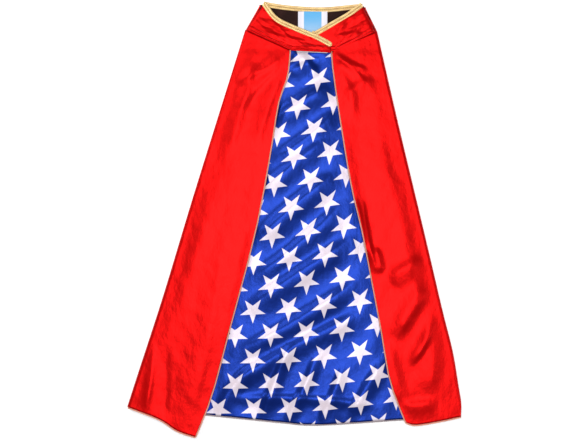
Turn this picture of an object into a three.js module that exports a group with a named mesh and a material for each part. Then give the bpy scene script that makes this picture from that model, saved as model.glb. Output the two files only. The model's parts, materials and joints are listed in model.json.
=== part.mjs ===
/*
 * A child's superhero cape, laid flat and folded at both sides.
 *
 * Frame: millimetres, +Z up off the table, +Y towards the neck, +X to the right as the cape is seen from
 * the front. The origin is under the middle of the whole cape, at table height.
 *
 * The back lies face down with its lining up. Each front is folded over it along a side fold, with the
 * outer satin up. The left front's yoke closes over the right one's with hook and loop tape. Every layer
 * of cloth is a thin flat plate.
 */
import * as THREE from 'three';

// ---- Driving dimensions -------------------------------------------------------------------------------

const HALF_WIDTH = 266.7; // from the middle to a hem corner
const HALF_LENGTH = 350; // from the middle to the neck corner, or to the lowest front corner

const SHELL = 1.0; // thickness allowed for the outer satin
const LINING = 0.8; // thickness allowed for the lining or facing
const GAP = 0.3; // clear space between neighbours
const PLY = SHELL + GAP + LINING; // one panel: outer satin, gap, lining

const FOLD_RISE = 2.8; // clear space between the back and a front folded over it
const FRONT_Z = PLY + FOLD_RISE; // underside of the fronts
const TAPE = 0.8; // thickness of either closure tape
const BINDING_PROUD = 0.5; // how far a neck binding stands above the satin
const BINDING_WIDTH = 8;
const EDGING_WIDTH = 2.4; // overlocked thread along the raw edges

const CURVE_STEPS = 18; // straight steps along each curved edge
const ROUND_STEPS = 8; // straight steps round the end of the overlap's binding

const point = (x, y) => new THREE.Vector2(x, y);

// The side folds, from shoulder to hem. The panels end here, just inside the hinge axes.
const LEFT_SIDE = [point(-76.9, 304), point(-HALF_WIDTH, -301.8)];
const RIGHT_SIDE = [point(129, 301), point(265.6, -301), point(HALF_WIDTH, -317)];

// Finish of each material.
const RED_SATIN = { color: 0xe61414, roughness: 0.38 };
const STAR_SATIN = { color: 0x1b46bf, roughness: 0.35 };
const DARK_FACING = { color: 0x2a1210, roughness: 0.8 };
const GOLD_BINDING = { color: 0xe6bd84, roughness: 0.35 };
const FRONT_THREAD = { color: 0xd99a6c, roughness: 0.6 };
const HEM_THREAD = { color: 0x8c7a72, roughness: 0.6 };
const WHITE_TAPE = { color: 0xf0ecf6, roughness: 0.75 };
const LABEL_SATIN = { color: 0xf0ecf6, roughness: 0.5 };

// ---- Outline helpers ----------------------------------------------------------------------------------

/** A smooth path through a few points. */
function curve(...corners) {
  return new THREE.SplineCurve(corners.map(([x, y]) => point(x, y))).getPoints(CURVE_STEPS);
}

/** Unit vector to the left of the step from one point to the next. */
function leftOf(from, to) {
  const step = to.clone().sub(from).normalize();
  return point(-step.y, step.x);
}

/** Where the offset lines of two meeting edges cross, relative to the corner that they share. */
function mitre(normalBefore, offsetBefore, normalAfter, offsetAfter) {
  if (offsetBefore === offsetAfter) {
    const stretch = offsetAfter / (1 + normalBefore.dot(normalAfter));
    return normalBefore.clone().add(normalAfter).multiplyScalar(stretch);
  }
  const turn = normalBefore.cross(normalAfter);
  return point(
    (offsetBefore * normalAfter.y - offsetAfter * normalBefore.y) / turn,
    (offsetAfter * normalBefore.x - offsetBefore * normalAfter.x) / turn,
  );
}

/** An open path moved sideways, to the left of its direction. */
function beside(path, offset) {
  return path.map((here, i) => {
    const normalBefore = leftOf(path[Math.max(i - 1, 0)], path[Math.max(i, 1)]);
    const normalAfter = leftOf(path[Math.min(i, path.length - 2)], path[Math.min(i + 1, path.length - 1)]);
    return here.clone().add(mitre(normalBefore, offset, normalAfter, offset));
  });
}

/**
 * A closed outline, anticlockwise, from runs of points that share their ends. Each run is pulled
 * inwards by its own amount.
 */
function outline(...runs) {
  const edges = runs.flatMap(({ path, inset }) =>
    path.slice(1).map((to, i) => ({ from: path[i], inset, normal: leftOf(path[i], to) })));
  return edges.map((edge, i) => {
    const before = edges[(i + edges.length - 1) % edges.length];
    return edge.from.clone().add(mitre(before.normal, before.inset, edge.normal, edge.inset));
  });
}

const run = (path, inset = 0) => ({ path, inset });
const reversed = (path) => [...path].reverse();

/** The outline of a band along a path, between two sideways offsets. */
function band(path, low, high) {
  return [...beside(path, low), ...reversed(beside(path, high))];
}

/** The outline of a band centred on a path, with a round far end. */
function roundEndedBand(path, width) {
  const radius = width / 2;
  const end = path.at(-1);
  const side = leftOf(path.at(-2), end).angle();
  const arc = Array.from({ length: ROUND_STEPS - 1 }, (_, i) => {
    const angle = side - Math.PI + (Math.PI * (i + 1)) / ROUND_STEPS;
    return point(end.x + radius * Math.cos(angle), end.y + radius * Math.sin(angle));
  });
  return [...beside(path, -radius), ...arc, ...reversed(beside(path, radius))];
}

// ---- Solid helpers ------------------------------------------------------------------------------------

/** A flat plate of cloth: an outline, its underside's height and its thickness. */
function plate(points, z, thickness) {
  const shape = new THREE.Shape(points);
  const geometry = new THREE.ExtrudeGeometry(shape, { depth: thickness, bevelEnabled: false });
  return geometry.translate(0, 0, z);
}

/** Tilts a plate of the left yoke, so that it rises from the left fold to lie over the closure. */
function tilted(geometry) {
  const outward = leftOf(LEFT_SIDE[0], LEFT_SIDE[1]);
  const spots = geometry.attributes.position;
  for (let i = 0; i < spots.count; i += 1) {
    const reach = point(spots.getX(i), spots.getY(i)).sub(LEFT_SIDE[0]).dot(outward);
    spots.setZ(i, spots.getZ(i) + OVERLAP_SLOPE * reach);
  }
  return geometry;
}

const cape = new THREE.Group();

/** Adds one named piece to the cape. */
function piece(name, geometry, finish) {
  const mesh = new THREE.Mesh(geometry, new THREE.MeshStandardMaterial({ ...finish, metalness: 0 }));
  mesh.name = name;
  cape.add(mesh);
}

// ---- Edges --------------------------------------------------------------------------------------------

const BACK_HEM = curve(
  [-HALF_WIDTH, -301.8], [-141, -314], [-29, -325], [35, -330], [150, -323], [HALF_WIDTH, -317]);

const LEFT_FRONT_EDGE = curve(
  [-4.8, 271], [-9.4, 229], [-24, 185], [-37, 104], [-61, -21],
  [-102, -176], [-130, -280], [-157, -HALF_LENGTH]);
const LEFT_HEM = curve([-HALF_WIDTH, -301.8], [-217, -321], [-189, -339], [-157, -HALF_LENGTH]);

const RIGHT_FRONT_EDGE = curve(
  [58, 269], [62, 227], [80, 109], [92, 43], [109, -30], [137, -176], [151.5, -258], [177, -326]);
const RIGHT_HEM = curve([177, -326], [194, -330], [228, -325], [HALF_WIDTH, -317]);

const BACK_NECKLINE = curve(
  [-48.5, HALF_LENGTH], [-20, 345], [20, 341.4], [52, 341], [84, 344], [109, 346.5]);
const LEFT_NECKLINE = curve([-48.5, 346], [-29, 321], [3.4, 305], [36, 291.5], [57, 280]);
const UNDERLAP_TOP = [30, 295.5];
const RIGHT_NECKLINE = curve([108, 344], [85, 327.5], [60, 313], UNDERLAP_TOP);

const BACK_YOKE_SEAM = [LEFT_SIDE[0], RIGHT_SIDE[0]];
const LEFT_YOKE_SEAM = [LEFT_SIDE[0], LEFT_FRONT_EDGE[0]];
const RIGHT_YOKE_SEAM = [point(66, 270), RIGHT_SIDE[0]];

// The overlap of the left yoke and the underlap of the right one.
const OVERLAP_LOW = point(58.7, 267.4);
const OVERLAP_HIGH = LEFT_NECKLINE.at(-1);
const UNDERLAP_LOW = point(UNDERLAP_TOP[0], 271);

// Closure tapes, as x and y from their lower left corners.
const HOOK_CORNER = point(3, 266.2);
const HOOK_SIZE = point(50, 9.5);
const LOOP_CORNER = point(32, 272);
const LOOP_SIZE = point(20, 8);

const LABEL_CORNER = point(6, 292);
const LABEL_SIZE = point(47, 40);
const LABEL_THICKNESS = 0.6;

// The left yoke has to clear the right yoke, both tapes and the gaps between them where the tapes start.
const FRONT_TOP = FRONT_Z + PLY;
const TAPES_RISE = PLY + 2 * TAPE + 4 * GAP;
const OVERLAP_REACH = LOOP_CORNER.clone().sub(LEFT_SIDE[0]).dot(leftOf(LEFT_SIDE[0], LEFT_SIDE[1]));
const OVERLAP_SLOPE = TAPES_RISE / OVERLAP_REACH;

const HALF_BINDING = BINDING_WIDTH / 2;
const EDGE_INSET = EDGING_WIDTH + GAP;
const SEAM_INSET = GAP / 2;

// ---- Shared shapes ------------------------------------------------------------------------------------

/** The two layers of a back piece, from its outline. The outer satin faces the table. */
function backLayers(shape) {
  return { outer: plate(shape, 0, SHELL), inner: plate(shape, SHELL + GAP, LINING) };
}

/** The two layers of a front piece, from its outline. The outer satin faces up. */
function frontLayers(shape) {
  return { outer: plate(shape, FRONT_Z + LINING + GAP, SHELL), inner: plate(shape, FRONT_Z, LINING) };
}

/** A rectangle's outline, from its lower left corner and its size. */
function rectangle(corner, size) {
  const { x, y } = corner;
  return [corner, point(x + size.x, y), point(x + size.x, y + size.y), point(x, y + size.y)];
}

// ---- Back ---------------------------------------------------------------------------------------------

function addBack() {
  const panel = backLayers(outline(
    run([LEFT_SIDE[0], LEFT_SIDE[1]]),
    run(BACK_HEM, EDGE_INSET),
    run(reversed(RIGHT_SIDE)),
    run(reversed(BACK_YOKE_SEAM), SEAM_INSET),
  ));
  piece('back_shell', panel.outer, RED_SATIN);
  piece('back_lining', panel.inner, STAR_SATIN);

  const yoke = backLayers(outline(
    run([BACK_NECKLINE[0], LEFT_SIDE[0]]),
    run(BACK_YOKE_SEAM, SEAM_INSET),
    run([RIGHT_SIDE[0], BACK_NECKLINE.at(-1)]),
    run(reversed(BACK_NECKLINE), BINDING_WIDTH + GAP),
  ));
  piece('back_yoke', yoke.outer, RED_SATIN);
  piece('back_yoke_facing', yoke.inner, DARK_FACING);

  const neckBinding = plate(band(BACK_NECKLINE, -BINDING_WIDTH, 0), 0, PLY + BINDING_PROUD);
  piece('back_neck_binding', neckBinding, GOLD_BINDING);
  const label = plate(rectangle(LABEL_CORNER, LABEL_SIZE), PLY + GAP, LABEL_THICKNESS);
  piece('neck_label', label, LABEL_SATIN);
  piece('back_hem_edging', plate(band(BACK_HEM, 0, EDGING_WIDTH), 0, PLY), HEM_THREAD);
}

// ---- Left front, which closes over the right ----------------------------------------------------------

function addLeftFront() {
  const panel = frontLayers(outline(
    run([LEFT_SIDE[0], LEFT_SIDE[1]]),
    run(LEFT_HEM, EDGE_INSET),
    run(reversed(LEFT_FRONT_EDGE), EDGE_INSET),
    run(reversed(LEFT_YOKE_SEAM), SEAM_INSET),
  ));
  piece('left_front_shell', panel.outer, RED_SATIN);
  piece('left_front_lining', panel.inner, STAR_SATIN);
  const edge = [...LEFT_HEM, ...reversed(LEFT_FRONT_EDGE).slice(1)];
  piece('left_front_edging', plate(band(edge, 0, EDGING_WIDTH), FRONT_Z, PLY), FRONT_THREAD);

  const yoke = frontLayers(outline(
    run([LEFT_NECKLINE[0], LEFT_SIDE[0]]),
    run(LEFT_YOKE_SEAM, SEAM_INSET),
    run([LEFT_YOKE_SEAM[1], OVERLAP_LOW]),
    run([OVERLAP_LOW, OVERLAP_HIGH]),
    run(reversed(LEFT_NECKLINE), HALF_BINDING + GAP),
  ));
  piece('left_yoke', tilted(yoke.outer), RED_SATIN);
  piece('left_yoke_facing', tilted(yoke.inner), DARK_FACING);
  const neckBinding = plate(roundEndedBand(LEFT_NECKLINE, BINDING_WIDTH), FRONT_Z, PLY + BINDING_PROUD);
  piece('left_neck_binding', tilted(neckBinding), GOLD_BINDING);
  const hookTape = plate(rectangle(HOOK_CORNER, HOOK_SIZE), FRONT_Z - GAP - TAPE, TAPE);
  piece('hook_tape', tilted(hookTape), WHITE_TAPE);
}

// ---- Right front --------------------------------------------------------------------------------------

function addRightFront() {
  const panel = frontLayers(outline(
    run(RIGHT_HEM, EDGE_INSET),
    run(reversed(RIGHT_SIDE)),
    run(reversed(RIGHT_YOKE_SEAM), SEAM_INSET),
    run([RIGHT_YOKE_SEAM[0], RIGHT_FRONT_EDGE[0]]),
    run(RIGHT_FRONT_EDGE, EDGE_INSET),
  ));
  piece('right_front_shell', panel.outer, RED_SATIN);
  piece('right_front_lining', panel.inner, STAR_SATIN);
  const edge = [...RIGHT_FRONT_EDGE, ...RIGHT_HEM.slice(1)];
  piece('right_front_edging', plate(band(edge, 0, EDGING_WIDTH), FRONT_Z, PLY), FRONT_THREAD);

  const yoke = frontLayers(outline(
    run(RIGHT_YOKE_SEAM, SEAM_INSET),
    run([RIGHT_SIDE[0], RIGHT_NECKLINE[0]]),
    run(RIGHT_NECKLINE, HALF_BINDING + GAP),
    run([RIGHT_NECKLINE.at(-1), UNDERLAP_LOW]),
    run([UNDERLAP_LOW, RIGHT_YOKE_SEAM[0]]),
  ));
  piece('right_yoke', yoke.outer, RED_SATIN);
  piece('right_yoke_facing', yoke.inner, DARK_FACING);
  const bindingShape = band(RIGHT_NECKLINE, -HALF_BINDING, HALF_BINDING);
  const neckBinding = plate(bindingShape, FRONT_Z, PLY + BINDING_PROUD);
  piece('right_neck_binding', neckBinding, GOLD_BINDING);
  piece('loop_tape', plate(rectangle(LOOP_CORNER, LOOP_SIZE), FRONT_TOP + GAP, TAPE), WHITE_TAPE);
}

addBack();
addLeftFront();
addRightFront();

export default cape;
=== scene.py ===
# A child's superhero cape, laid flat, with satin, star-printed lining, gold bindings and sewn edges.

import json
import math

import bpy
import numpy as np
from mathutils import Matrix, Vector


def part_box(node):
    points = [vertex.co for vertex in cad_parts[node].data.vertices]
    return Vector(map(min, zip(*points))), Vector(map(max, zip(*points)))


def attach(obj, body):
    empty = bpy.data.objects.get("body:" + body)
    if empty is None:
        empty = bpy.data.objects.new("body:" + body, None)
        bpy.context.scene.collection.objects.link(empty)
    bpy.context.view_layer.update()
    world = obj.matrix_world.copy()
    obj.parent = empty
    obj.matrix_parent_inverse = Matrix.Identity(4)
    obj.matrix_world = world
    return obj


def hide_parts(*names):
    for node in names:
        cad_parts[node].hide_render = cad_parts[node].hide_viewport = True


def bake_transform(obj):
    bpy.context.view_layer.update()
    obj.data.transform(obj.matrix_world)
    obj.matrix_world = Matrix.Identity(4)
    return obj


bl_info = {
    "name": "Superhero Cape",
    "version": (1, 0, 0),
    "blender": (4, 5, 0),
    "location": "3D View > Sidebar > Cape",
    "description": "Builds a satin cape with a star-printed lining around its packed frame",
    "category": "Object",
}

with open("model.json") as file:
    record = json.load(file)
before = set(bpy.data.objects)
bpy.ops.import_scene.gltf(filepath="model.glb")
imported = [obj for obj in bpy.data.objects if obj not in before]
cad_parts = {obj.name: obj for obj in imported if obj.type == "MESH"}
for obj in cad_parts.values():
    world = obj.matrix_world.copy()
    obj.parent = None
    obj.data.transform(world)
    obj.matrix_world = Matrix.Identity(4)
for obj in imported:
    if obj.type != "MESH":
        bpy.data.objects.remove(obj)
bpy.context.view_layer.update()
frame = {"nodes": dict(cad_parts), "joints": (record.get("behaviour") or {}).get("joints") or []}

MM = 0.001  # cloth shapes are worked out in millimetres
PANELS = {"left": "left_front", "right": "right_front"}
JOINTS = {joint["child"]: joint for joint in frame["joints"]}
FOLD_HEIGHT = 1000 * JOINTS["left_front"]["pos_m"][2]  # of both side folds, above the table

BACK_LEVEL = 1.3  # the back lining's mean height
FRONT_LEVEL = 6.4  # a front's outer satin, mean height
PLY_GAP = 0.75  # from the middle of the satin to the middle of its lining
CLOTH = 0.34  # thickness of every satin and lining
YOKE_CLOTH = 0.4  # thickness of the yokes' satin
FOLD_RADIUS = 5.0  # of the cloth's own turn at a side fold
FOLD_REACH = 30  # how far in from a side fold the back is brought round to it
THREAD_OUT = 1.2  # from a raw edge out to the middle of the thread that wraps it
SEAM_THREAD = 0.2  # radius of a seam's stitches
STITCH_ROWS = (3.6, 8.6)  # above a front yoke's lower edge
FLAP_TIP, UNDER_FLAP = 57, 62  # where the left yoke's stitches end, and the right one's start
TAPE_SHOWS = 1.6  # how far the hook tape shows below the overlap


# ---- Sizes and colours that a user may change -----------------------------------------------------


def length(label, text, millimetres):
    return bpy.props.FloatProperty(
        name=label, description=text, default=millimetres * MM, min=0, unit="LENGTH", precision=5)


def factor(label, text, value, most=4.0):
    return bpy.props.FloatProperty(name=label, description=text, default=value, min=0, max=most)


def colour(label, text, red, green, blue):
    return bpy.props.FloatVectorProperty(
        name=label, description=text, default=(red, green, blue), size=3, min=0, max=1, subtype="COLOR")


class CapeSizes(bpy.types.PropertyGroup):
    star_radius: length("Star radius", "Middle of a printed star to its points", 21.4)
    star_pitch: length("Star pitch", "Distance between stars along a row", 57.0)
    row_pitch: length("Row pitch", "Distance between rows of stars", 40.2)
    stitch_pitch: length("Stitch pitch", "Distance between stitches of a seam", 3.1)
    overlock_pitch: length("Overlock pitch", "Distance between thread loops on a raw edge", 1.5)
    fold_depth: factor("Fold depth", "Depth of the folds and creases, as a share of the usual", 1.0)


class CapeColours(bpy.types.PropertyGroup):
    satin: colour("Satin", "Outer satin", 0.62, 0.0025, 0.003)
    print_blue: colour("Print blue", "Ground of the star print", 0.006, 0.027, 0.255)
    print_star: colour("Print stars", "Stars of the print", 0.80, 0.72, 0.82)
    binding: colour("Binding", "Gold neck binding", 1.0, 0.66, 0.28)
    thread: colour("Thread", "Overlock thread of the fronts", 0.84, 0.34, 0.22)
    hem_thread: colour("Hem thread", "Overlock thread of the back hem", 0.36, 0.30, 0.32)
    facing: colour("Facing", "Inner side of the yoke", 0.022, 0.008, 0.007)
    label: colour("Label", "Ground of the neck label", 0.86, 0.83, 0.92)
    label_block: colour("Label block", "Plain block woven into the label", 0.07, 0.42, 0.80)
    floor: colour("Floor", "Table that the cape lies on", 0.93, 0.93, 0.93)


def sizes():
    return bpy.context.scene.cape_sizes


def colours():
    return bpy.context.scene.cape_colours


# ---- Shader expressions ---------------------------------------------------------------------------


class Wire:
    """A shader socket that can be used in sums. Each sum adds its Math node."""

    def __init__(self, shader, socket):
        self.shader = shader
        self.socket = socket

    def sum(self, operation, *values):
        return self.shader.node("ShaderNodeMath", {"operation": operation}, *values)

    def __add__(self, other):
        return self.sum("ADD", self, other)

    __radd__ = __add__

    def __sub__(self, other):
        return self.sum("SUBTRACT", self, other)

    def __rsub__(self, other):
        return self.sum("SUBTRACT", other, self)

    def __mul__(self, other):
        return self.sum("MULTIPLY", self, other)

    __rmul__ = __mul__

    def __truediv__(self, other):
        return self.sum("DIVIDE", self, other)

    def root(self):
        return self.sum("SQRT", self)

    def sine(self):
        return self.sum("SINE", self)

    def cosine(self):
        return self.sum("COSINE", self)

    def size(self):
        return self.sum("ABSOLUTE", self)

    def wrapped(self, low, high):
        return self.sum("WRAP", self, high, low)

    def greatest(self, other):
        return self.sum("MAXIMUM", self, other)

    def step(self, low, high):
        """0 below low, 1 above high and smooth between."""
        settings = {"interpolation_type": "SMOOTHSTEP"}
        return self.shader.node("ShaderNodeMapRange", settings, self, low, high, 0.0, 1.0)


class Shader:
    """A material made from expressions."""

    def __init__(self, name):
        self.material = bpy.data.materials.new(name)
        self.material.use_nodes = True
        self.tree = self.material.node_tree
        self.surface = self.tree.nodes["Principled BSDF"]

    def feed(self, socket, value):
        if isinstance(value, Wire):
            self.tree.links.new(value.socket, socket)
        else:
            socket.default_value = value

    def node(self, kind, settings=None, *values, output=0, **named):
        """Adds a node: its settings first, then the values or links of its sockets. Gives one output."""
        node = self.tree.nodes.new(kind)
        for name, value in (settings or {}).items():
            setattr(node, name, value)
        for socket, value in zip(node.inputs, values):
            self.feed(socket, value)
        for name, value in named.items():
            self.feed(node.inputs[name], value)
        return Wire(self, node.outputs[output])

    def mix(self, share, first, second):
        """A mix of two colours."""
        node = self.tree.nodes.new("ShaderNodeMix")
        node.data_type = "RGBA"
        self.feed(node.inputs[0], share)
        self.feed(node.inputs[6], (*first, 1) if isinstance(first, tuple) else first)
        self.feed(node.inputs[7], (*second, 1) if isinstance(second, tuple) else second)
        return Wire(self, node.outputs[2])

    def cloth_place(self):
        """Place on the flat cloth, in metres."""
        return self.node("ShaderNodeUVMap", {"uv_map": "cloth"})

    def stretched(self, place, across, along):
        """The cloth's place scaled for a texture that is finer one way than the other."""
        return self.node("ShaderNodeVectorMath", {"operation": "MULTIPLY"}, place, (across, along, 1.0))

    def noise(self, place, scale, detail=2.0):
        return self.node("ShaderNodeTexNoise", None, Vector=place, Scale=scale, Detail=detail)

    def bump(self, height, distance, strength=1.0, normal=None):
        named = {"Height": height, "Distance": distance, "Strength": strength}
        if normal is not None:
            named["Normal"] = normal
        return self.node("ShaderNodeBump", None, **named)

    def finish(self, **values):
        """Sets the surface's sockets, with underscores for the spaces in their names."""
        for name, value in values.items():
            self.feed(self.surface.inputs[name.replace("_", " ")], value)
        return self.material


def shade(tone, share):
    """A colour made darker or lighter by a share."""
    return tuple(min(1.0, part * share) for part in tone)


def weave_normal(shader, place, thread, depth):
    """Fine over-and-under of a plain weave with that thread spacing, in metres."""
    parts = shader.node("ShaderNodeSeparateXYZ", None, place)
    across = parts
    along = Wire(shader, parts.socket.node.outputs[1])
    turns = 2 * math.pi / thread
    height = (across * turns).sine() * (along * turns).sine()
    return shader.bump(height, depth)


def satin_surface(shader, place, weave_depth):
    """Roughness and normal of satin: long floats one way, and a faint crumple from handling."""
    floats = shader.noise(shader.stretched(place, 3200, 420), 1.0, 1.0)
    crumple = shader.noise(shader.stretched(place, 60, 38), 1.0, 3.0)
    rough = 0.30 + floats * 0.12 + crumple * 0.06
    soft = shader.bump(crumple, 0.0011)
    return rough, shader.bump(floats, weave_depth, normal=soft), floats, crumple


def red_satin():
    shader = Shader("red_satin")
    base = tuple(colours().satin)
    place = shader.cloth_place()
    rough, normal, floats, crumple = satin_surface(shader, place, 0.00004)
    # Painted light and shade: the satin's colour is lighter on the crumple's crests and darker in its
    # hollows.
    tone = shader.mix(crumple.step(0.3, 0.7), shade(base, 0.96), shade(base, 1.03))
    tone = shader.mix(floats * 0.25, tone, shade(base, 0.7))
    return shader.finish(
        Base_Color=tone, Roughness=rough, Normal=normal, Metallic=0.5,
        Sheen_Weight=0.04, Sheen_Roughness=0.4, Sheen_Tint=(1.0, 0.12, 0.1, 1.0),
        Specular_IOR_Level=0.5, Specular_Tint=(1.0, 0.14, 0.12, 1.0))


def star_mask(across, along, radius):
    """1 inside a five-pointed star with one point down, centred where across and along are 0."""
    fifth = 2 * math.pi / 5
    inner = 0.382  # a regular star's inner corners, as a share of its points' radius
    distance = (across * across + along * along).root()
    angle = across.sum("ARCTAN2", across, -1 * along)
    folded = angle.wrapped(-fifth / 2, fifth / 2).size()
    inner_x = inner * math.cos(fifth / 2)
    inner_y = inner * math.sin(fifth / 2)
    edge = math.hypot(1 - inner_x, inner_y)
    normal_x = inner_y / edge
    normal_y = (1 - inner_x) / edge
    outside = distance * (folded.cosine() * normal_x + folded.sine() * normal_y) - radius * normal_x
    return 1 - outside.step(-0.00035, 0.00035), distance


def star_lining():
    shader = Shader("star_lining")
    blue = tuple(colours().print_blue)
    pale = tuple(colours().print_star)
    place = shader.cloth_place()
    parts = shader.node("ShaderNodeSeparateXYZ", None, shader.node("ShaderNodeUVMap", {"uv_map": "print"}))
    across = parts
    along = Wire(shader, parts.socket.node.outputs[1])
    pitch = sizes().star_pitch
    row = sizes().row_pitch
    masks = []
    for shift in (0, 0.5):
        own_across = (across - shift * pitch).wrapped(-pitch / 2, pitch / 2)
        own_along = (along - shift * 2 * row).wrapped(-row, row)
        masks.append(star_mask(own_across, own_along, sizes().star_radius))
    star = masks[0][0].greatest(masks[1][0])
    middle = (1 - masks[0][1].step(0.002, 0.015)).greatest(1 - masks[1][1].step(0.002, 0.015))
    rough, normal, floats, crumple = satin_surface(shader, place, 0.00004)
    # Painted light and shade: the blue ground is lighter on the crumple's crests and darker in its hollows.
    ground = shader.mix(crumple.step(0.3, 0.7), shade(blue, 0.92), shade(blue, 1.06))
    ground = shader.mix(floats * 0.3, ground, shade(blue, 0.6))
    ink = shader.mix(middle * 0.55, pale, (0.82, 0.66, 0.70))
    ink = shader.mix(floats * 0.2, ink, shade(pale, 0.8))
    return shader.finish(
        Base_Color=shader.mix(star, ground, ink), Roughness=rough, Normal=normal,
        Metallic=0.62 - star * 0.5, Sheen_Weight=0.04,
        Sheen_Roughness=0.4, Sheen_Tint=(0.3, 0.45, 1.0, 1.0), Specular_IOR_Level=0.5,
        Specular_Tint=(0.3, 0.5, 1.0, 1.0))


def gold_binding():
    shader = Shader("gold_binding")
    base = tuple(colours().binding)
    place = shader.cloth_place()
    parts = shader.node("ShaderNodeSeparateXYZ", None, place)
    along = parts
    across = Wire(shader, parts.socket.node.outputs[1])
    floats = shader.noise(shader.stretched(place, 700, 2600), 1.0, 1.0)
    ripple = ((along + across * 0.8) * (2 * math.pi / 0.0034)).sine()
    wear = shader.noise(shader.stretched(place, 90, 200), 1.0, 2.0)
    tone = shader.mix(wear.step(0.35, 0.7), shade(base, 0.80), shade(base, 1.1))
    tone = shader.mix(floats * 0.35, tone, shade(base, 0.55))
    normal = shader.bump(floats, 0.00005, normal=shader.bump(ripple, 0.00016))
    return shader.finish(
        Base_Color=tone, Roughness=0.26 + floats * 0.15, Normal=normal, Metallic=0.35,
        Sheen_Weight=0.2, Sheen_Tint=(1.0, 0.85, 0.5, 1.0), Coat_Weight=0.1)


def sewing_thread(name, base):
    shader = Shader(name)
    place = shader.cloth_place()
    fibres = shader.noise(shader.stretched(place, 5200, 1500), 1.0, 2.0)
    patches = shader.noise(place, 70.0, 2.0)
    tone = shader.mix(fibres, shade(base, 0.72), shade(base, 1.2))
    tone = shader.mix(patches.step(0.4, 0.7) * 0.4, tone, shade(base, 0.6))
    return shader.finish(
        Base_Color=tone, Roughness=0.42 + fibres * 0.2, Normal=shader.bump(fibres, 0.00006),
        Sheen_Weight=0.3, Sheen_Tint=(1.0, 0.8, 0.7, 1.0))


def dark_facing():
    shader = Shader("dark_facing")
    base = tuple(colours().facing)
    place = shader.cloth_place()
    blotch = shader.noise(place, 55.0, 3.0)
    tone = shader.mix(blotch.step(0.4, 0.75), base, shade(base, 1.7))
    return shader.finish(
        Base_Color=tone, Roughness=0.7 + blotch * 0.2, Normal=weave_normal(shader, place, 0.0007, 0.00012),
        Sheen_Weight=0.06, Sheen_Tint=(0.7, 0.45, 0.35, 1.0), Specular_IOR_Level=0.15)


def label_satin(box_low, box_high):
    """The label's weave, with one plain block down its middle that grows paler towards its foot."""
    shader = Shader("label_satin")
    place = shader.cloth_place()
    parts = shader.node("ShaderNodeSeparateXYZ", None, place)
    across = parts
    along = Wire(shader, parts.socket.node.outputs[1])
    width = (box_high.x - box_low.x)
    height = (box_high.y - box_low.y)
    middle = (box_high.x + box_low.x) / 2
    half_block = 0.30 * width
    inside = 1 - (across - middle).size().step(half_block - 0.0003, half_block + 0.0003)
    paler = 1 - ((along - box_low.y) / height).step(0.15, 0.95)
    ground = tuple(colours().label)
    block = tuple(colours().label_block)
    ribs = (across * (2 * math.pi / 0.0011)).sine()
    tone = shader.mix(paler * 0.6, block, (0.45, 0.62, 0.86))
    stripe = (across - middle).size().step(0.36 * width, 0.40 * width)
    tone = shader.mix(inside, shader.mix(stripe * 0.3, ground, shade(ground, 0.82)), tone)
    tone = shader.mix((ribs + 1) * 0.04, tone, shade(ground, 0.7))
    return shader.finish(
        Base_Color=tone, Roughness=0.42, Normal=shader.bump(ribs, 0.00005), Sheen_Weight=0.2)


def closure_tape(name, tone, pile):
    shader = Shader(name)
    place = shader.cloth_place()
    tufts = shader.node("ShaderNodeTexVoronoi", None, Vector=place, Scale=1 / pile)
    fuzz = shader.noise(place, 900.0, 3.0)
    body = shader.mix(fuzz, shade(tone, 0.78), shade(tone, 1.1))
    return shader.finish(
        Base_Color=body, Roughness=0.75, Normal=shader.bump(tufts + fuzz * 0.5, 0.0004), Sheen_Weight=0.4)


def pale_floor():
    shader = Shader("pale_floor")
    tone = tuple(colours().floor)
    place = shader.node("ShaderNodeTexCoord", None, output=3)
    grain = shader.noise(place, 12.0, 4.0)
    return shader.finish(
        Base_Color=shader.mix(grain, shade(tone, 0.99), tone), Roughness=0.85,
        Emission_Color=(1.0, 1.0, 1.0, 1.0), Emission_Strength=0.22)


FINISHES = {}


def finish_of(name):
    """One named finish, made once."""
    if name in FINISHES:
        return FINISHES[name]
    makers = {
        "red_satin": red_satin,
        "star_lining": star_lining,
        "gold_binding": gold_binding,
        "dark_facing": dark_facing,
        "edge_thread": lambda: sewing_thread("edge_thread", tuple(colours().thread)),
        "hem_thread": lambda: sewing_thread("hem_thread", tuple(colours().hem_thread)),
        "red_thread": lambda: sewing_thread("red_thread", shade(tuple(colours().satin), 0.85)),
        # The binding's stitches are real, but their dark brown is painted shade: it stands for the shade
        # along the binding's stitched groove.
        "gold_thread": lambda: sewing_thread("gold_thread", shade(tuple(colours().binding), 0.42)),
        "label_satin": lambda: label_satin(*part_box("neck_label")),
        "hook_tape": lambda: closure_tape("hook_tape", (0.86, 0.80, 0.84), 0.0009),
        "loop_tape": lambda: closure_tape("loop_tape", (0.80, 0.77, 0.80), 0.0005),
    }
    FINISHES[name] = makers[name]()
    return FINISHES[name]


# ---- Reading the frame ----------------------------------------------------------------------------


def outline(node):
    """A flat plate's outline seen from above, anticlockwise, in millimetres."""
    mesh = frame["nodes"][node].data
    edges = set()
    for face in mesh.polygons:
        if face.normal.z < 0.5:
            continue
        corners = [tuple(round(1000 * part, 3) for part in mesh.vertices[i].co[:2]) for i in face.vertices]
        edges.update(zip(corners, corners[1:] + corners[:1]))
    following = {a: b for a, b in edges if (b, a) not in edges}
    loop = [min(following)]
    while following[loop[-1]] != loop[0]:
        loop.append(following[loop[-1]])
    return np.array(loop)


def resample(path, count):
    """The same path with evenly spaced points."""
    steps = np.linalg.norm(np.diff(path, axis=0), axis=1)
    travelled = np.concatenate([[0], np.cumsum(steps)])
    wanted = np.linspace(0, travelled[-1], count)
    return np.stack([np.interp(wanted, travelled, path[:, k]) for k in range(path.shape[1])], axis=1)


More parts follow.
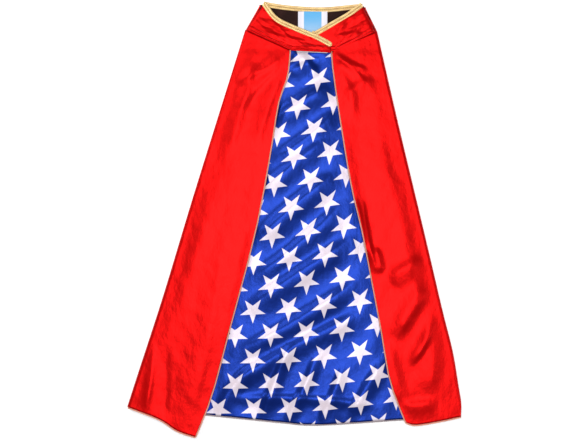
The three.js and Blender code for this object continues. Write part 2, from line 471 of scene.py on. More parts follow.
def sides(node, directions):
    """An outline cut at four corners, each the point furthest in a direction, anticlockwise in order."""
    loop = outline(node)
    starts = [int(np.argmax(loop @ np.array(way))) for way in directions]
    runs = []
    for start, end in zip(starts, starts[1:] + starts[:1]):
        end = end if end > start else end + len(loop)
        runs.append(loop[np.arange(start, end + 1) % len(loop)])
    return runs


def smoothstep(t):
    t = np.clip(t, 0, 1)
    return t * t * (3 - 2 * t)


def coons(left, low, right, high, columns, rows):
    """A grid that fills the space between four edge paths, which run anticlockwise."""
    left = resample(left[::-1], rows)[:, None]
    right = resample(right, rows)[:, None]
    low = resample(low, columns)[None]
    high = resample(high[::-1], columns)[None]
    u = np.linspace(0, 1, columns)[None, :, None]
    v = np.linspace(0, 1, rows)[:, None, None]
    corners = ((1 - u) * (1 - v) * low[:, :1] + u * (1 - v) * low[:, -1:]
               + (1 - u) * v * high[:, :1] + u * v * high[:, -1:])
    return (1 - u) * left + u * right + (1 - v) * low + v * high - corners


# ---- The lie of the cloth -------------------------------------------------------------------------


def crease(x, y, start, end, width, height, bow=0.0, lean=0.35):
    """A soft ridge along a line, steeper on one side. A negative height makes a valley."""
    run = np.subtract(end, start)
    reach = math.hypot(*run)
    along = ((x - start[0]) * run[0] + (y - start[1]) * run[1]) / reach ** 2
    across = ((x - start[0]) * run[1] - (y - start[1]) * run[0]) / reach + bow * 4 * along * (1 - along)
    side = np.where(across > 0, 1 + lean, 1 - lean)
    fade = smoothstep(along / 0.3) * smoothstep((1 - along) / 0.3)
    return height * fade * np.exp(-(across / (width * side)) ** 2)


def ripple(x, y, seed, wavelength, angle, spread):
    """A field of small waves, mostly running one way."""
    draw = np.random.default_rng(seed)
    total = np.zeros_like(x)
    waves = 7
    for _ in range(waves):
        way = math.radians(angle + draw.uniform(-spread, spread))
        size = wavelength * draw.uniform(0.7, 1.5)
        phase = draw.uniform(0, 2 * math.pi)
        total += np.sin((x * math.cos(way) + y * math.sin(way)) * 2 * math.pi / size + phase)
    return total / waves


# Each fold: start, end, half width, height and sideways bow, in millimetres. Negative heights are hollows.
BACK_FOLDS = [
    ((0, 272), (40, 226), 10, 4.2, 2),
    ((-14, 232), (52, 262), 9, -3.0, 2),
    ((-40, 150), (64, 216), 14, 6.6, 6),
    ((-40, 92), (72, 178), 13, 5.6, -5),
    ((-60, 36), (66, 136), 14, 6.4, 4),
    ((-70, -44), (82, 84), 16, 7.6, 6),
    ((-84, -106), (90, 38), 13, 5.6, -6),
    ((-90, -156), (108, -24), 15, 7.4, 5),
    ((-110, -222), (120, -86), 14, 6.4, -5),
    ((-124, -276), (130, -140), 13, 5.6, 6),
    ((-54, -326), (0, -190), 9, 5.6, 4),
    ((-20, -332), (40, -206), 8, 4.6, -4),
    ((36, -332), (80, -226), 9, 4.2, -3),
    ((-132, -310), (-60, -226), 10, 4.2, 3),
    ((84, -326), (150, -216), 11, 5.0, 3),
    ((-120, -286), (150, -300), 7, 3.0, 8),
]
LEFT_FOLDS = [
    ((-8, 266), (-112, 214), 8, 2.2, 4),
    ((-8, 262), (-96, 166), 10, 2.1, -5),
    ((-12, 256), (-62, 110), 11, 2.2, -4),
    ((-62, 292), (-112, 90), 15, 2.4, 5),
    ((-46, 200), (-150, -110), 32, 2.2, 12),
    ((-92, 120), (-206, -250), 30, 1.7, -10),
    ((-60, 40), (-128, -260), 19, 2.4, -8),
    ((-116, -10), (-176, -340), 22, 3.4, 8),
    ((-226, -176), (-240, -318), 9, 3.0, 3),
    ((-206, -190), (-210, -322), 10, -2.0, 2),
]
RIGHT_FOLDS = [
    ((62, 267), (122, 238), 5, 2.8, -3),
    ((62, 264), (118, 214), 7, 2.2, 3),
    ((64, 260), (100, 150), 13, 1.9, 4),
    ((80, 196), (132, 226), 13, 2.6, 3),
    ((76, 170), (128, -90), 18, 2.6, -8),
    ((116, 150), (206, -150), 30, 2.4, 10),
    ((96, 40), (112, -60), 6, 3.4, 3),
    ((108, 40), (132, -90), 6, 3.0, -3),
    ((128, -40), (140, -88), 9, 3.2, 1),
    ((146, -100), (222, -56), 15, 4.2, 4),
    ((228, -92), (158, -196), 15, 5.2, -4),
    ((232, -140), (182, -236), 9, 4.8, 5),
    ((248, -150), (212, -290), 17, 3.0, -4),
    ((150, -190), (182, -300), 16, 2.8, -5),
    ((168, -298), (232, -292), 11, 2.8, 0),
]


def folded(x, y, folds):
    total = np.zeros_like(x)
    for start, end, width, height, bow in folds:
        total += crease(x, y, start, end, width, height, bow)
    return total * sizes().fold_depth


def fold_line(side):
    """A side fold's hinge: a point on it, in millimetres, and the way in from it over the cape."""
    joint = JOINTS[PANELS[side]]
    ahead = np.array(joint["axis"][:2])
    spot = 1000 * np.array(joint["pos_m"][:2])
    inward = np.array([-ahead[1], ahead[0]])
    return spot, inward * np.sign(inward @ -spot)


def reach_in(x, y, side):
    """Distance in from a side fold's hinge, in millimetres."""
    spot, inward = fold_line(side)
    return (x - spot[0]) * inward[0] + (y - spot[1]) * inward[1]


def bulge(y, side):
    """How far the cloth's own fold stands outside its hinge, in millimetres."""
    if side == "left":
        return -0.4 - 1.9 * np.exp(-((y + 125) / 110) ** 2)
    lower_bow = 3.0 * smoothstep((230 - y) / 360) * smoothstep((y + 312) / 120)
    return 1.6 + lower_bow + 2.0 * np.exp(-((y + 215) / 50) ** 2)


def from_fold(height, share):
    """A height brought down to the side folds' own height, where the share is 0."""
    return FOLD_HEIGHT + (height - FOLD_HEIGHT) * share


def round_in(depth, radius):
    """0 at the folded edge, rising round to 1 at a radius in from it."""
    inside = np.clip(depth / radius, 0, 1)
    return np.sqrt(1 - (1 - inside) ** 2)


def softly_above(amount, blur):
    """The amount, eased so that it never falls below zero."""
    return blur * np.logaddexp(0, amount / blur)


def back_height(x, y):
    """Top of the back lining. It lies flatter where the fronts cover it."""
    y = np.asarray(y, float)
    open_half = 24 + 0.195 * (300 - y)
    shown = smoothstep((open_half + 14 - np.abs(x - 18 - 0.01 * y)) / 30) * smoothstep((292 - y) / 26)
    waves = 1.2 * ripple(x, y, 5, 62, -48, 14) + 0.16 * ripple(x, y, 6, 30, -50, 30)
    hem = 0.7 * np.sin(x / 7.5) * np.exp(-np.clip(y + 322, 0, None) / 9)
    lift = (folded(x, y, BACK_FOLDS) + 1.9 + waves) * sizes().fold_depth
    return BACK_LEVEL + 0.55 + np.clip(lift, 0, None) * shown * 0.92 + hem * shown


CLOSURE = (2.0, 272.0)  # where the closure pulls on the left front's corner


def front_height(x, y, side):
    """Middle of a front's outer satin."""
    folds = LEFT_FOLDS if side == "left" else RIGHT_FOLDS
    depth = reach_in(x, y, side)
    calm = smoothstep(depth / 34)
    seed = 11 if side == "left" else 12
    angle = 12 if side == "left" else -10
    waves = 0.8 * ripple(x, y, seed, 70, angle, 16) + 0.28 * ripple(x, y, seed + 5, 26, angle + 30, 50)
    lift = folded(x, y, folds) + (waves + 1.0) * sizes().fold_depth
    rise = 0.0
    if side == "left":
        rise = 2.4 * np.exp(-np.hypot(x - CLOSURE[0], y - CLOSURE[1]) / 45)
    level = FRONT_LEVEL + (softly_above(lift + 0.8, 1.2) - 0.8) * calm + rise
    under = back_height(x, y) + 1.8
    return under + softly_above(level - under, 1.6)


def fold_over(height, x, y, side):
    """Brings a layer round into its side fold."""
    depth = reach_in(x, y, side) + bulge(y, side)
    return from_fold(height, round_in(depth, FOLD_RADIUS))


def yoke_height(x, y, side):
    """Middle of a front yoke's outer satin: flat over the right, rising over the closure on the left."""
    draw = 21 if side == "left" else 22
    wrinkles = 0.8 * ripple(x, y, draw, 17, 62 if side == "left" else 118, 26)
    wrinkles += 0.45 * ripple(x, y, draw + 3, 8.5, 50 if side == "left" else 128, 38)
    if side == "left":
        depth = reach_in(x, y, side)
        rise = 0.046 * np.clip(depth, 0, None)
        for start, end, width, height in (((-60, 300), (20, 284), 5, 1.3), ((-40, 322), (0, 282), 4, 1.2),
                                          ((-2, 276), (54, 276), 3, 0.9), ((-66, 318), (-20, 288), 4, 1.0)):
            wrinkles = wrinkles + crease(x, y, start, end, width, height)
        return FRONT_LEVEL + 0.7 + rise + wrinkles * sizes().fold_depth
    for start, end, width, height in (((62, 292), (112, 300), 5, 1.6), ((58, 286), (84, 318), 4, 1.4),
                                      ((66, 276), (118, 322), 4.5, 1.5), ((60, 300), (100, 330), 4, 1.0)):
        wrinkles = wrinkles + crease(x, y, start, end, width, height)
    clear = smoothstep((x - 60) / 14)
    return FRONT_LEVEL + 0.3 + (0.5 + wrinkles * sizes().fold_depth) * clear


# ---- Mesh helpers ---------------------------------------------------------------------------------


def new_piece(name, points, faces, cloth, slot, finish=None, printed=None):
    """A mesh object in the row frame, from millimetre points, with its place on the flat cloth."""
    mesh = bpy.data.meshes.new(name)
    mesh.from_pydata((points * MM).tolist(), [], [list(face) for face in faces])
    mesh.validate()
    corners = np.empty(len(mesh.loops), np.int32)
    mesh.loops.foreach_get("vertex_index", corners)
    for label, places in (("cloth", cloth), ("print", printed)):
        if places is not None:
            layer = mesh.uv_layers.new(name=label)
            layer.data.foreach_set("uv", (places[corners] * MM).astype(np.float32).ravel())
    mesh.polygons.foreach_set("use_smooth", np.ones(len(mesh.polygons), bool))
    mesh.materials.append(finish_of(finish or slot))
    piece = bpy.data.objects.new(name, mesh)
    bpy.context.scene.collection.objects.link(piece)
    return piece


def quads(rows, columns, first=0, around=False):
    """Faces of a grid whose points are stored row by row. around joins the last column to the first."""
    last = columns if around else columns - 1
    r, c = np.meshgrid(np.arange(rows - 1), np.arange(last), indexing="ij")
    following = (c + 1) % columns
    faces = np.stack([r * columns + c, r * columns + following,
                      (r + 1) * columns + following, (r + 1) * columns + c], axis=-1)
    return first + faces.reshape(-1, 4)


def slab(grid, heights, thickness=CLOTH):
    """A closed sheet of cloth: a grid of places with heights for its middle, given a thickness."""
    rows, columns = heights.shape
    middle = np.dstack([grid, heights])
    across = np.gradient(middle, axis=1)
    along = np.gradient(middle, axis=0)
    normal = np.cross(across, along)
    normal /= np.linalg.norm(normal, axis=2, keepdims=True)
    half = normal * thickness / 2
    points = np.concatenate([(middle + half).reshape(-1, 3), (middle - half).reshape(-1, 3)])
    count = rows * columns
    top = quads(rows, columns)
    bottom = count + top[:, ::-1]
    index = np.arange(count).reshape(rows, columns)
    rim = np.concatenate([index[0, :-1], index[:-1, -1], index[-1, :0:-1], index[:0:-1, 0]])
    after = np.roll(rim, -1)
    edge = np.stack([rim, rim + count, after + count, after], axis=1)
    return points, np.concatenate([top, bottom, edge])


def left_of(ahead):
    """The level directions to the left of the ways along a path."""
    side = np.stack([-ahead[:, 1], ahead[:, 0], np.zeros(len(ahead))], axis=1)
    return side / np.linalg.norm(side, axis=1, keepdims=True)


def sweep(path, profile):
    """A closed band along a 3-D path. The profile is a ring of (sideways, up) places, one per column."""
    side = left_of(np.gradient(path, axis=0))
    profile = np.asarray(profile, float)
    if profile.ndim == 2:
        profile = np.repeat(profile[None], len(path), axis=0)
    up = np.array([0, 0, 1.0])
    points = path[:, None] + profile[..., :1] * side[:, None] + profile[..., 1:] * up
    rows, columns = points.shape[:2]
    faces = quads(rows, columns, around=True).tolist()
    faces.append(list(range(columns))[::-1])
    faces.append([(rows - 1) * columns + k for k in range(columns)])
    travelled = np.concatenate([[0], np.cumsum(np.linalg.norm(np.diff(path, axis=0), axis=1))])
    places = np.stack([np.repeat(travelled, columns), profile[..., 0].ravel()], axis=1)
    return points.reshape(-1, 3), faces, places


def threads(routes, radius, ring=6):
    """Many short pieces of thread. routes has one row of points per piece; radius may vary along it."""
    count, steps = routes.shape[:2]
    ahead = np.gradient(routes, axis=1)
    ahead /= np.linalg.norm(ahead, axis=2, keepdims=True)
    helper = np.array([0.31, 0.23, 0.92])
    first = np.cross(ahead, helper)
    first /= np.linalg.norm(first, axis=2, keepdims=True)
    second = np.cross(ahead, first)
    angle = np.arange(ring) * 2 * math.pi / ring
    swell = np.broadcast_to(radius, (steps,))[None, :, None, None]
    turn = np.cos(angle)[:, None] * first[:, :, None] + np.sin(angle)[:, None] * second[:, :, None]
    points = routes[:, :, None] + swell * turn
    faces = []
    for piece in range(count):
        start = piece * steps * ring
        faces += quads(steps, ring, start, around=True).tolist()
        faces.append([start + k for k in range(ring)][::-1])
        faces.append([start + (steps - 1) * ring + k for k in range(ring)])
    points = points.reshape(-1, 3)
    return points, faces, points[:, :2].copy()


def joined(*parts):
    """Several (points, faces, places) parts as one."""
    points, faces, places, start = [], [], [], 0
    for part_points, part_faces, part_places in parts:
        points.append(part_points)
        places.append(part_places)
        faces += [[start + k for k in face] for face in part_faces]
        start += len(part_points)
    return np.concatenate(points), faces, np.concatenate(places)


def at_height(path, height_of):
    """A flat path lifted onto the cloth."""
    return np.column_stack([path, height_of(path[:, 0], path[:, 1])])


def follow(path, pitch, share=1.0):
    """Evenly spaced middles and directions along a path, and the length of each step."""
    reach = np.linalg.norm(np.diff(path, axis=0), axis=1).sum()
    count = max(2, int(reach / pitch))
    fine = resample(path, count * 2 + 1)
    middles = fine[1::2]
    ahead = fine[2::2] - fine[:-2:2]
    return middles, ahead * share, reach / count


def stitch_row(path, radius=0.26, share=0.72, sink=0.2):
    """A row of stitches lying on the cloth along a path."""
    middles, ahead, _ = follow(path, 1000 * sizes().stitch_pitch, share)
    spots = np.array([-0.5, -0.3, 0.0, 0.3, 0.5])
    lift = np.array([-sink, 0.05, 0.14, 0.05, -sink])
    routes = middles[:, None] + spots[None, :, None] * ahead[:, None]
    routes[..., 2] += lift
    return threads(routes, radius * np.array([0.55, 0.95, 1.0, 0.95, 0.55]))


def overlock(path, width=1.9, depth=1.15, slant=0.55):
    """Thread loops wrapped round a raw edge, over a core of rolled cloth. The edge is left of the path."""
    turns = np.linspace(0, 2 * math.pi, 14, endpoint=False)
    core = np.stack([width / 2 * np.cos(turns), depth / 2 * np.sin(turns)], axis=1)
    middles, ahead, _ = follow(path, 1000 * sizes().overlock_pitch)
    side = left_of(ahead)
    wrap = np.linspace(-0.92, 0.92, 9) * math.pi
    out = (width / 2 + 0.12) * np.cos(wrap)
    up = (depth / 2 + 0.12) * np.sin(wrap)
    sideways = out[None, :, None] * side[:, None]
    forward = slant * (wrap / math.pi)[None, :, None] * ahead[:, None]
    routes = middles[:, None] + sideways + forward
    routes[..., 2] += up
    loops = threads(routes, 0.3, ring=5)
    return joined(sweep(resample(path, max(8, int(len(middles) * 0.8))), core), loops)


# ---- Fold bands, print places and panel grids -----------------------------------------------------


# Where a front turns at its side fold: from outside to inside the hinge, in millimetres. The left cloth's
# own fold lies inside its hinge, and the right one's outside.
FOLD_BANDS = {"left": (-2.0, 3.3), "right": (6.0, 3.0)}

# How far each shoulder's satin stands outside its plate, at the neck and at the foot, in millimetres.
SHOULDER_PUSH = {"left": (2.6, 0.8), "right": (1.6, 3.8)}
SHOULDER_BAND = (0.4, 1.1)  # where a yoke starts and ends its turn, in from its shoulder fold
NECK_MIDDLE = np.array([20.0, 320.0])


def hinge_band(side, outer, inner):
    """The band across a side fold in which a piece turns from the back to the front."""
    spot, inward = fold_line(side)
    start = (*(spot - outer * inward) * MM, FOLD_HEIGHT * MM)
    end = (*(spot + inner * inward) * MM, FOLD_HEIGHT * MM)
    return start, end


def shoulder(side):
    """The two ends of a shoulder fold on its yoke's outline, at the neck and at the foot."""
    loop = outline(f"{side}_yoke")
    outermost = np.argmin if side == "left" else np.argmax
    return loop[np.argmax(loop[:, 1])], loop[outermost(loop[:, 0])]


def inward_from(top, foot):
    """The way in over the cape from a shoulder fold."""
    down = (foot - top) / np.linalg.norm(foot - top)
    inward = np.array([-down[1], down[0]])
    return inward * np.sign(inward @ (NECK_MIDDLE - top))


def shoulder_band(side):
    """
    The narrow band at a shoulder fold in which a yoke piece turns from the back to the front. The fold
    is inboard of the hinge, so the cloth beside it spans the gap.
    """
    away = np.array([-1.0 if side == "left" else 1.0, 0.0])
    top, foot = (end + push * away for end, push in zip(shoulder(side), SHOULDER_PUSH[side]))
    inward = inward_from(top, foot)
    start, end = ((*(foot + depth * inward) * MM, FOLD_HEIGHT * MM) for depth in SHOULDER_BAND)
    return start, end


def bend(piece, side, at_shoulder=False):
    """Bakes a front piece's place into its mesh. The band at its fold is worked out, but the piece is not
    turned there.
    """
    start, end = shoulder_band(side) if at_shoulder else hinge_band(side, *FOLD_BANDS[side])
    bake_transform(piece)


def declare(node):
    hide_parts(node)


def print_place(x, y, seed):
    """Place in the star print. Its rows rise to the right, and its columns lean, more so near the neck."""
    columns = 19 + 1.16e-4 * (y + 180) ** 2
    near_neck = smoothstep((y + 250) / 250)
    straight = 0.13 * (x - 25)
    curved = 0.14 * 40 * (np.log1p(np.exp((x - 25) / 40)) - math.log(2))
    rise = near_neck * straight + (1 - near_neck) * curved
    along = y - rise - 223.3 - 3.0 * np.exp(-((y - 60) / 120) ** 2)
    return np.stack([x - columns + 1000 * seed, along], axis=-1)


PANEL_CORNERS = {
    "left": ((-1, 2), (-2, -1), (1, -2), (2, 1)),
    "right": ((-2, 1), (-1, -2), (2, -1), (1, 2)),
    "back": ((-1, 2), (-2, -1), (2, -1), (1, 2)),
}


def pushed(run, side, amount):
    """A side edge moved out to the cloth's own fold, with an extra amount."""
    _, inward = fold_line(side)
    out = reach_in(run[:, 0], run[:, 1], side) + bulge(run[:, 1], side)
    if side == "right":
        out *= smoothstep((run[:, 1] + 316) / 30)
    return run - (out + amount)[:, None] * inward


def panel_grid(node, corners, columns, rows, tuck=5.0, margin=0.0):
    """The grid of one body panel: pushed out to its folds, and tucked up under the yoke."""
    left, low, right, high = sides(node, corners)
    left = resample(left, 160)
    right = resample(right, 160)
    if node.startswith(("back", "left")):
        left = pushed(left, "left", -margin)
    if node.startswith(("back", "right")):
        right = pushed(right[::-1], "right", -margin)[::-1]
    high = high + np.array([0, tuck]) * np.sin(np.linspace(0, math.pi, len(high)))[:, None] ** 0.5
    low = low.copy()
    low[0], low[-1] = left[-1], right[0]
    high = high.copy()
    high[0], high[-1] = right[-1], left[0]
    return coons(left, low, right, high, columns, rows)


def split(grid):
    return grid[..., 0], grid[..., 1]


# ---- Pieces ---------------------------------------------------------------------------------------


def sheet_piece(name, grid, heights, slot, printed=None, thickness=CLOTH):
    """A closed sheet of cloth over a grid of places, keeping where each point lies on the flat."""
    points, faces = slab(grid, heights, thickness)
    flat = np.tile(grid.reshape(-1, 2), (2, 1))
    places = None if printed is None else np.tile(printed.reshape(-1, 2), (2, 1))
    return new_piece(name, points, faces, flat, slot, printed=places)


def add_back_panel():
    grid = panel_grid("back_lining", PANEL_CORNERS["back"], 190, 226)
    x, y = split(grid)
    top = back_height(x, y)
    for side in PANELS:
        top = np.where(reach_in(x, y, side) < FOLD_REACH, fold_over(top, x, y, side), top)
    lining = sheet_piece("back_lining_cloth", grid, top, "star_lining", print_place(x, y, 0))
    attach(lining, "back")
    declare("back_lining")

    grid = panel_grid("back_shell", PANEL_CORNERS["back"], 150, 180, margin=-0.5)
    x, y = split(grid)
    low = back_height(x, y) - PLY_GAP
    for side in PANELS:
        low = np.where(reach_in(x, y, side) < FOLD_REACH, fold_over(low, x, y, side), low)
    shell = sheet_piece("back_shell_cloth", grid, low, "red_satin")
    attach(shell, "back")
    declare("back_shell")

    _, hem, _, _ = sides("back_shell", PANEL_CORNERS["back"])
    path = at_height(hem + np.array([0, -THREAD_OUT]), lambda px, py: back_height(px, py) - PLY_GAP / 2)
    edge = new_piece("back_hem_thread", *overlock(path[::-1]), "edge_thread", "hem_thread")
    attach(edge, "back")
    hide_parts("back_hem_edging")


def add_front_panel(side):
    body = PANELS[side]
    corners = PANEL_CORNERS[side]
    grid = panel_grid(f"{body}_shell", corners, 140, 230)
    x, y = split(grid)
    heights = fold_over(front_height(x, y, side) - 0.5 * smoothstep((y - 262) / 12), x, y, side)
    shell = sheet_piece(f"{body}_shell_cloth", grid, heights, "red_satin")
    bend(shell, side)
    declare(f"{body}_shell")

    grid = panel_grid(f"{body}_lining", corners, 100, 150, margin=0.5)
    x, y = split(grid)
    heights = fold_over(front_height(x, y, side) - PLY_GAP - 0.5 * smoothstep((y - 262) / 12), x, y, side)
    printed = print_place(x, y, 3 if side == "left" else 6)
    lining = sheet_piece(f"{body}_lining_cloth", grid, heights, "star_lining", printed)
    bend(lining, side)
    declare(f"{body}_lining")

    left, low, right, _ = sides(f"{body}_shell", corners)
    run = np.concatenate([low, right[1:]]) if side == "left" else np.concatenate([left, low[1:]])
    run = resample(run, 420)
    ahead = np.gradient(run, axis=0)
    ahead /= np.linalg.norm(ahead, axis=1, keepdims=True)
    run = run + THREAD_OUT * np.column_stack([ahead[:, 1], -ahead[:, 0]])
    path = at_height(run, lambda px, py: front_height(px, py, side) - PLY_GAP / 2)
    edge = new_piece(f"{body}_edge_thread", *overlock(path[::-1]), "edge_thread")
    bend(edge, side)
    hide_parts(f"{body}_edging")


def yoke_grid(node, corners, columns, rows, grow=2.0, inset=0.0):
    left, low, right, high = [resample(edge, 60) for edge in sides(node, corners)]
    if node.startswith(("left", "back")):
        left = left + np.outer(np.linspace(*SHOULDER_PUSH["left"], len(left)) - inset, (-1, 0))
        low[0], high[-1] = left[-1], left[0]
    if node.startswith(("right", "back")):
        right = right + np.outer(np.linspace(*SHOULDER_PUSH["right"][::-1], len(right)) - inset, (1, 0))
        low[-1], high[0] = right[0], right[-1]
    low = low + np.array([0, -0.6])
    high = high + np.array([0, grow])
    left[0] += (0, grow)
    left[-1] += (0, -0.6)
    right[0] += (0, -0.6)
    right[-1] += (0, grow)
    return coons(left, low, right, high, columns, rows)


YOKE_CORNERS = {
    "left": ((0, 1), (-1, 0), (1, -2), (1, 1)),
    "right": ((-2, 1), (-2, -1), (1, 0), (0, 1)),
    "back": PANEL_CORNERS["back"],
}


def seam_ridges(v, span):
    """Two stitched ridges just above a yoke's lower edge. v runs from 0 there, over span millimetres."""
    up = v * span
    return 0.75 * np.exp(-((up - 1.6) / 1.1) ** 2) + 0.6 * np.exp(-((up - 6.2) / 1.3) ** 2)


def add_yoke(side):
    grid = yoke_grid(f"{side}_yoke", YOKE_CORNERS[side], 76, 50)
    x, y = split(grid)
    v = np.linspace(0, 1, grid.shape[0])[:, None]
    heights = from_fold(yoke_height(x, y, side) + seam_ridges(v, 38), shoulder_drop(x, y, side))
    yoke = sheet_piece(f"{side}_yoke_cloth", grid, heights, "red_satin", thickness=YOKE_CLOTH)
    bend(yoke, side, at_shoulder=True)
    declare(f"{side}_yoke")

    grid = yoke_grid(f"{side}_yoke_facing", YOKE_CORNERS[side], 60, 26, inset=0.45)
    x, y = split(grid)
    heights = from_fold(yoke_height(x, y, side) - PLY_GAP, shoulder_drop(x, y, side))
    facing = sheet_piece(f"{side}_yoke_facing_cloth", grid, heights, "dark_facing")
    bend(facing, side, at_shoulder=True)
    declare(f"{side}_yoke_facing")

    _, seam, _, _ = sides(f"{side}_yoke", YOKE_CORNERS[side])
    seam = resample(seam, 200)
    seam = seam[seam[:, 0] < FLAP_TIP if side == "left" else seam[:, 0] > UNDER_FLAP]
    rows = []
    for up in STITCH_ROWS:
        line = seam + np.array([0, up])
        path = at_height(line, lambda px, py: yoke_height(px, py, side) + 0.28)
        path[:, 2] = from_fold(path[:, 2], shoulder_drop(line[:, 0], line[:, 1], side))
        rows.append(stitch_row(path, radius=SEAM_THREAD))
    stitches = new_piece(f"{side}_yoke_stitches", *joined(*rows), "red_satin", "red_thread")
    bend(stitches, side, at_shoulder=True)


def shoulder_drop(x, y, side):
    """0 at the shoulder fold, rising round to 1 a little way in."""
    top, foot = shoulder(side)
    inward = inward_from(top, foot)
    depth = (x - foot[0]) * inward[0] + (y - foot[1]) * inward[1]
    return round_in(depth + 0.4, 6.0)


def add_back_yoke():
    grid = yoke_grid("back_yoke", YOKE_CORNERS["back"], 90, 24)
    x, y = split(grid)
    waves = 0.25 * ripple(x, y, 31, 26, 80, 30)
    fold = shoulder_drop(x, y, "left") * shoulder_drop(x, y, "right")
    low = from_fold(BACK_LEVEL - PLY_GAP + 0.3 + waves, fold)
    yoke = sheet_piece("back_yoke_cloth", grid, low, "red_satin", thickness=YOKE_CLOTH)
    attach(yoke, "back")
    declare("back_yoke")
    grid = yoke_grid("back_yoke_facing", YOKE_CORNERS["back"], 90, 24, inset=2.2)
    facing = sheet_piece("back_yoke_facing_cloth", grid, low + PLY_GAP, "dark_facing")
    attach(facing, "back")
    declare("back_yoke_facing")
    _, seam, _, _ = sides("back_yoke", YOKE_CORNERS["back"])
    path = at_height(resample(seam, 120) + np.array([0, 4.0]), lambda px, py: 0 * px + BACK_LEVEL + 0.55)
    stitches = new_piece("back_yoke_stitches", *stitch_row(path, radius=SEAM_THREAD), "dark_facing")
    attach(stitches, "back")


def binding_profile(width=8.0, height=2.3):
    """A binding's section: a plump rolled edge above a flat stitched strip. Places are (sideways, up)."""
    half = width / 2
    arc = np.linspace(-0.15, 1.12, 11) * math.pi
    roll = np.stack([1.9 + 2.1 * np.cos(arc), 0.75 + 1.25 * np.sin(arc)], axis=1)
    strip = np.array([
        (-0.75, 0.42), (-1.3, 0.78), (-2.2, 0.92), (-3.2, 0.8), (-half, 0.25), (-half, -0.35)])
    return np.concatenate([roll, strip, [(0.0, -0.55), (half - 0.5, -0.5)]]) * np.array([1.0, height / 2.3])


def add_binding(name, node, neckline, height_of, body_side=None, round_end=False):
    """A gold binding along a neckline path, with its roll on the path's left, and its stitches."""
    path = at_height(resample(neckline, 150), height_of)
    profile = np.repeat(binding_profile()[None], len(path), axis=0)
    travelled = np.linspace(0, np.linalg.norm(np.diff(path, axis=0), axis=1).sum(), len(path))
    gather = 1 + 0.055 * np.sin(travelled[:, None] * 2 * math.pi / 4.2 + profile[..., 0] * 0.8)
    profile = profile * np.stack([np.ones_like(gather), gather], axis=2)
    if round_end:
        end = np.sqrt(np.clip(1 - np.clip((travelled - travelled[-1] + 4) / 4, 0, 0.995) ** 2, 0, 1))
        profile = profile * end[:, None, None]
    band = new_piece(name, *sweep(path, profile), "gold_binding")
    line = path + left_of(np.gradient(path, axis=0)) * -0.62 + np.array([0, 0, 0.62])
    row = stitch_row(line[3:-4], SEAM_THREAD, 0.6)
    stitches = new_piece(f"{name}_stitches", *row, "gold_binding", "gold_thread")
    for part in (band, stitches):
        if body_side:
            bend(part, body_side, at_shoulder=True)
        else:
            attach(part, "back")
    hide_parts(node)


def middle_line(node, directions):
    """The line down the middle of a band's outline, between the corners of its two ends."""
    _, low, _, high = sides(node, directions)
    return (resample(low, 80) + resample(high[::-1], 80)) / 2


def left_binding_height(x, y):
    """Height of the left binding: it half follows the yoke's wrinkles."""
    smooth_rise = FRONT_LEVEL + 0.7 + 0.046 * reach_in(x, y, "left")
    return (yoke_height(x, y, "left") + smooth_rise) / 2 + 0.35


def add_bindings():
    line = middle_line("left_neck_binding", ((-1, 2), (-2, 1), (1, -1), (1, 0.3)))
    add_binding("left_binding", "left_neck_binding", line, left_binding_height, "left", round_end=True)
    line = middle_line("right_neck_binding", ((-2, 1), (-2, -1), (1, -0.2), (0.2, 1)))
    add_binding("right_binding", "right_neck_binding", line,
                lambda x, y: FRONT_LEVEL + 0.4 + 0 * x, "right")
    line = middle_line("back_neck_binding", ((-1, 3), (-3, -1), (3, -1), (1, 3)))
    add_binding("back_binding", "back_neck_binding", line, lambda x, y: BACK_LEVEL + 0.5 + 0 * x)


def add_label():
    low, high = (1000 * np.array(corner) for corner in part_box("neck_label"))
    across = np.linspace(low[0], high[0], 40)
    along = np.linspace(low[1], high[1] + 2.0, 36)
    x, y = np.meshgrid(across, along)
    curl = 0.5 * ((x - across.mean()) / 23) ** 2 + 0.35 * np.sin((y - low[1]) / 9)
    grid = np.dstack([x, y])
    heights = np.maximum(BACK_LEVEL + 1.1, back_height(x, y) + 0.6) + np.clip(curl, 0, None)
    label = sheet_piece("label_cloth", grid, heights, "label_satin")
    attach(label, "back")
    declare("neck_label")


def add_tapes():
    for node, body, height_of in (
            ("hook_tape", "left_front", lambda x, y: yoke_height(x, y, "left") - PLY_GAP - 0.75),
            ("loop_tape", "right_front", lambda x, y: yoke_height(x, y, "right") + 0.55)):
        low, high = (1000 * np.array(corner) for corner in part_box(node))
        x, y = np.meshgrid(np.linspace(low[0], high[0], 40), np.linspace(low[1], high[1], 16))
        if node == "hook_tape":
            flap = sides("left_yoke", YOKE_CORNERS["left"])[1]
            foot = np.interp(x, flap[:, 0], flap[:, 1]) - TAPE_SHOWS
            y = foot + (y - low[1]) * 0.9
        heights = height_of(x, y)
        tape = sheet_piece(f"{node}_cloth", np.dstack([x, y]), heights, node, thickness=0.7)
        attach(tape, body)
        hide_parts(node)


# ---- Stage ----------------------------------------------------------------------------------------


def add_floor():
    mesh = bpy.data.meshes.new("floor")
    half = 8.0
    corners = [(-half, -half, 0), (half, -half, 0), (half, half, 0), (-half, half, 0)]
    mesh.from_pydata(corners, [], [(0, 1, 2, 3)])
    mesh.materials.append(pale_floor())
    floor = bpy.data.objects.new("floor", mesh)
    bpy.context.scene.collection.objects.link(floor)


# Each light: name, place, watts, width and height. All of them face the middle of the cape.
LIGHTS = (
    ("overhead", (0, 0, 2.6), 46, 1.1, 1.3),
    ("soft_top", (-1.0, 1.0, 1.15), 13, 0.8, 0.6),
    ("strip_right", (1.3, -0.3, 1.1), 4, 0.35, 1.3),
)


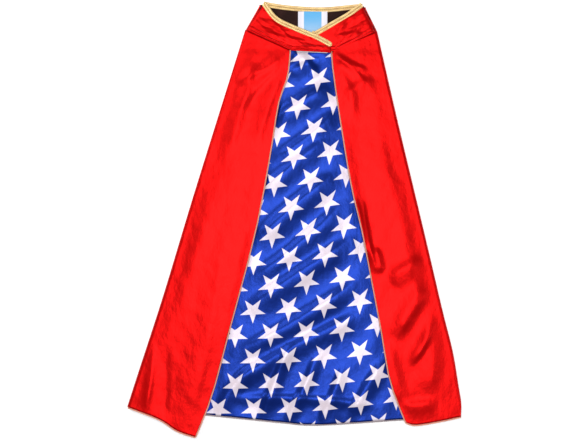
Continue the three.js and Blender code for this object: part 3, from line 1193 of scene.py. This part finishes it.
def add_light(name, place, energy, width, height):
    light = bpy.data.lights.new(name, "AREA")
    light.shape = "RECTANGLE"
    light.size = width
    light.size_y = height
    light.energy = energy
    holder = bpy.data.objects.new(name, light)
    holder.location = place
    aim = Vector() - Vector(place)
    holder.rotation_euler = aim.to_track_quat("-Z", "Y").to_euler()
    bpy.context.scene.collection.objects.link(holder)


def add_world():
    world = bpy.data.worlds.new("studio")
    world.use_nodes = True
    sky = world.node_tree.nodes["Background"]
    sky.inputs["Color"].default_value = (1.0, 1.0, 1.0, 1.0)
    sky.inputs["Strength"].default_value = 0.16
    bpy.context.scene.world = world


def add_camera():
    lens = bpy.data.cameras.new("camera")
    lens.lens = 85
    lens.sensor_width = 36
    lens.clip_end = 20
    camera = bpy.data.objects.new("camera", lens)
    camera.location = (-0.0005, -0.0008, 2.226)
    bpy.context.scene.collection.objects.link(camera)
    bpy.context.scene.camera = camera


# ---- Operators ------------------------------------------------------------------------------------


class CAPE_OT_stage(bpy.types.Operator):
    """Adds the floor, the studio light and the camera"""
    bl_idname = "cape.stage"
    bl_label = "Stage"

    def execute(self, context):
        add_floor()
        add_world()
        for light in LIGHTS:
            add_light(*light)
        add_camera()
        context.scene.view_settings.view_transform = "Standard"
        return {"FINISHED"}


class CAPE_OT_back(bpy.types.Operator):
    """Adds the back's satin, star lining and hem"""
    bl_idname = "cape.back"
    bl_label = "Back"

    def execute(self, context):
        add_back_panel()
        return {"FINISHED"}


class CAPE_OT_fronts(bpy.types.Operator):
    """Adds both fronts' satin, star lining and edge thread"""
    bl_idname = "cape.fronts"
    bl_label = "Fronts"

    def execute(self, context):
        for side in PANELS:
            add_front_panel(side)
        return {"FINISHED"}


class CAPE_OT_yokes(bpy.types.Operator):
    """Adds the shoulder yokes, their facings and their stitches"""
    bl_idname = "cape.yokes"
    bl_label = "Yokes"

    def execute(self, context):
        add_back_yoke()
        for side in PANELS:
            add_yoke(side)
        return {"FINISHED"}


class CAPE_OT_bindings(bpy.types.Operator):
    """Adds the three gold neck bindings and their stitches"""
    bl_idname = "cape.bindings"
    bl_label = "Bindings"

    def execute(self, context):
        add_bindings()
        return {"FINISHED"}


class CAPE_OT_label(bpy.types.Operator):
    """Adds the plain neck label"""
    bl_idname = "cape.label"
    bl_label = "Label"

    def execute(self, context):
        add_label()
        return {"FINISHED"}


class CAPE_OT_closure(bpy.types.Operator):
    """Adds the closure's hook and loop tapes"""
    bl_idname = "cape.closure"
    bl_label = "Closure"

    def execute(self, context):
        add_tapes()
        return {"FINISHED"}


OPERATORS = (CAPE_OT_stage, CAPE_OT_back, CAPE_OT_fronts, CAPE_OT_yokes, CAPE_OT_bindings, CAPE_OT_label,
             CAPE_OT_closure)


class CAPE_PT_sidebar(bpy.types.Panel):
    """The cape's pieces, sizes and colours"""
    bl_idname = "CAPE_PT_sidebar"
    bl_label = "Superhero Cape"
    bl_space_type = "VIEW_3D"
    bl_region_type = "UI"
    bl_category = "Cape"

    def draw(self, context):
        layout = self.layout
        for operator in OPERATORS:
            layout.operator(operator.bl_idname)
        for group in (context.scene.cape_sizes, context.scene.cape_colours):
            for name in group.__annotations__:
                layout.prop(group, name)


CLASSES = (CapeSizes, CapeColours, *OPERATORS, CAPE_PT_sidebar)


def register():
    for each in CLASSES:
        bpy.utils.register_class(each)
    bpy.types.Scene.cape_sizes = bpy.props.PointerProperty(type=CapeSizes)
    bpy.types.Scene.cape_colours = bpy.props.PointerProperty(type=CapeColours)


def unregister():
    del bpy.types.Scene.cape_colours
    del bpy.types.Scene.cape_sizes
    for each in reversed(CLASSES):
        bpy.utils.unregister_class(each)


def main():
    register()
    for operator in OPERATORS:
        group, name = operator.bl_idname.split(".")
        getattr(getattr(bpy.ops, group), name)()


if __name__ == "__main__":
    main()
